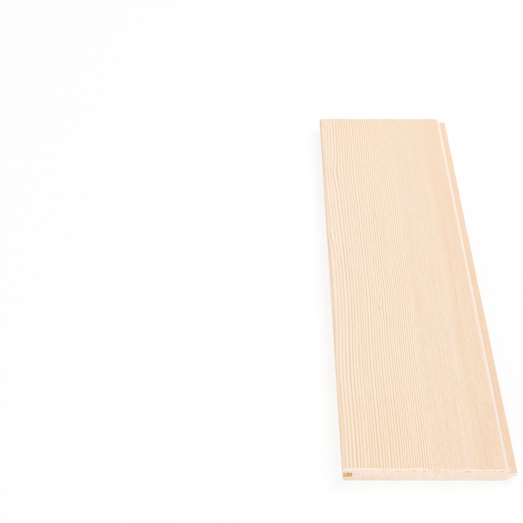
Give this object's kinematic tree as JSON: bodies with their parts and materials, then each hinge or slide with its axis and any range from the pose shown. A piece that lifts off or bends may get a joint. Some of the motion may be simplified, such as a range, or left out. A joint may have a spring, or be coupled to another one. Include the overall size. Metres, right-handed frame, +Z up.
{
  "type": "tongue and groove board",
  "caption": "Planed softwood board with a tapered tongue along an edge and a matching groove along the opposite edge, rounded face arrises and square-sawn ends.",
  "frame": {"origin": "middle of the board's box, on the back face that it lies on", "axes": "+X across the board towards the tongue, +Y along the grain and the length, +Z up out of the show face"},
  "size_m": [0.14, 0.525, 0.014],
  "materials": {
    "wood": "planed bare softwood, straight grained, unfinished"
  },
  "bodies": {
    "root": {"board": "wood"}
  },
  "joints": []
}
